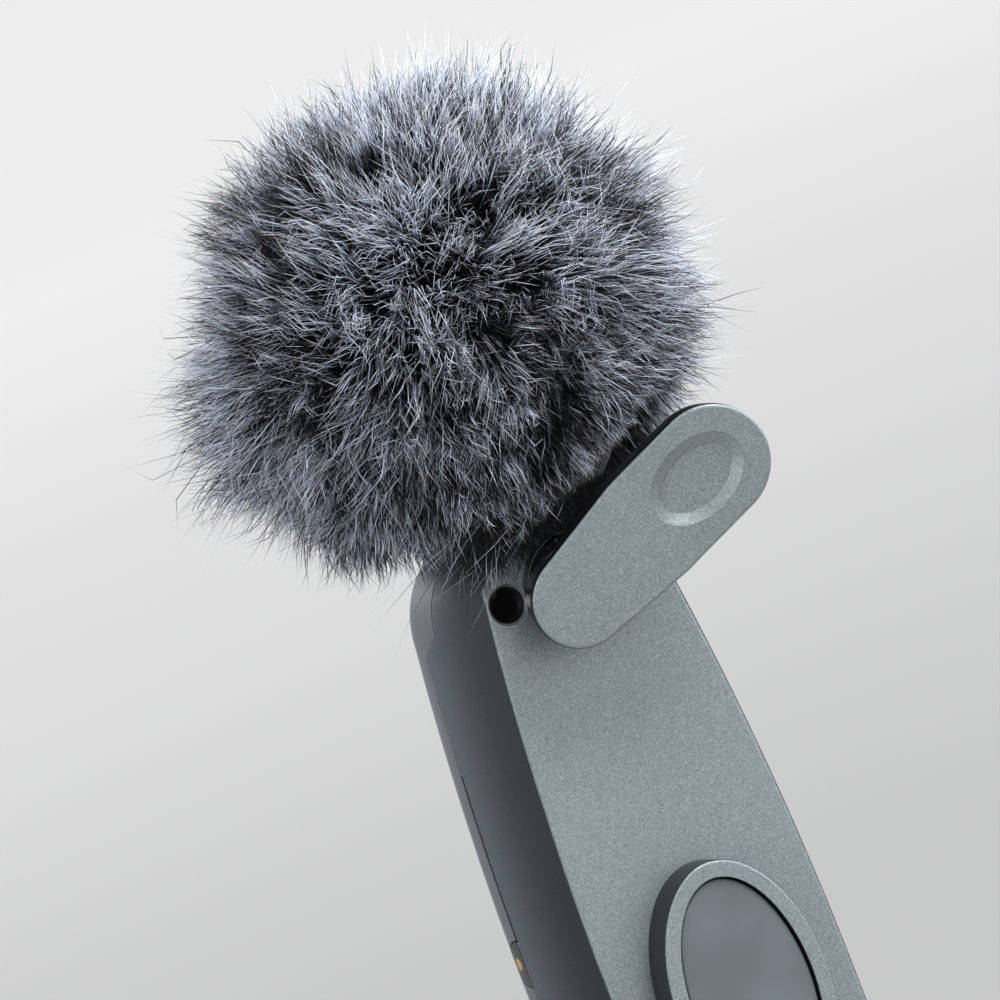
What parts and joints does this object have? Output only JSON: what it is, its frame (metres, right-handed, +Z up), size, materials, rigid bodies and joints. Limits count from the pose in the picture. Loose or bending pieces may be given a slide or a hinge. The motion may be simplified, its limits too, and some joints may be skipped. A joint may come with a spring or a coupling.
{
  "type": "lavalier microphone",
  "caption": "Stick-shaped wireless clip-on microphone with a furry windscreen, an oval push button and a turning spring clip.",
  "frame": {"origin": "where the clip's turning axis meets the flat front face, the plane that the clip closes on", "axes": "+Z up the housing towards the microphone head, -Y out of the front face, +X to the right seen from the front"},
  "size_m": [0.034, 0.034, 0.0961],
  "materials": {
    "grey_paint": "fine speckled metallic paint, satin",
    "back_plastic": "smooth blue-grey moulded plastic, satin",
    "button_plastic": "smooth blue-grey plastic, satin",
    "black_plastic": "black moulded plastic",
    "gold_plate": "gold plated, satin",
    "steel": "bright steel",
    "board_laminate": "green solder mask",
    "ceramic": "white fired ceramic",
    "battery_wrap": "silver pouch film",
    "foam": "open-cell foam, matt",
    "capsule_can": "pressed can, satin",
    "rubber": "soft rubber, matt",
    "flex_film": "amber film",
    "elastic": "woven elastic",
    "cloth": "knitted backing cloth",
    "fur": "long pile artificial fur, black roots and pale tips"
  },
  "bodies": {
    "housing": {"front_cover": "grey_paint", "back_cover": "back_plastic", "button_ring": "grey_paint", "strap_tube": "black_plastic", "contact_insert_right": "back_plastic", "contact_insert_left": "back_plastic", "charging_contacts": "gold_plate", "button_switch": "steel", "circuit_board": "board_laminate", "board_screws": "steel", "board_chips": "black_plastic", "antenna": "ceramic", "battery": "battery_wrap", "battery_foam": "foam", "case_magnets": "steel", "usb_socket": "steel", "usb_tongue": "black_plastic", "mic_neck": "gold_plate", "mic_grille": "gold_plate", "mic_capsule": "capsule_can", "capsule_boot": "rubber", "capsule_flex": "flex_film", "pivot_bush": "gold_plate"},
    "power_button": {"power_button": "button_plastic", "switch_plunger": "black_plastic"},
    "clip_turntable": {"clip_turntable": "black_plastic", "hinge_pin": "steel", "friction_washer": "steel", "pivot_screw": "steel", "clip_spring": "steel"},
    "clip_lever": {"clip_lever": "black_plastic", "lever_plate": "grey_paint", "jaw_pad": "rubber"},
    "windscreen": {"fur_cover": "fur", "windscreen_foam": "foam", "windscreen_sleeve": "cloth", "elastic_band": "elastic"}
  },
  "joints": [
    {"name": "button_press", "type": "slide", "parent": "housing", "child": "power_button", "axis": [0, 1, 0], "range_m": [0, 0.00045], "stiffness_N_per_m": 1500, "springref_m": -0.0004},
    {"name": "clip_turn", "type": "hinge", "parent": "housing", "child": "clip_turntable", "pos_m": [0, 0, 0], "axis": [0, -1, 0], "continuous": true},
    {"name": "clip_press", "type": "hinge", "parent": "clip_turntable", "child": "clip_lever", "pos_m": [0, -0.0027, 0], "axis": [-0.4179, 0, 0.9085], "range_deg": [0, 20], "stiffness_Nm_per_rad": 0.03, "springref_deg": -28.65},
    {"name": "windscreen_pull", "type": "slide", "parent": "housing", "child": "windscreen", "axis": [0, 0, 1], "range_m": [0, 0.03]}
  ]
}
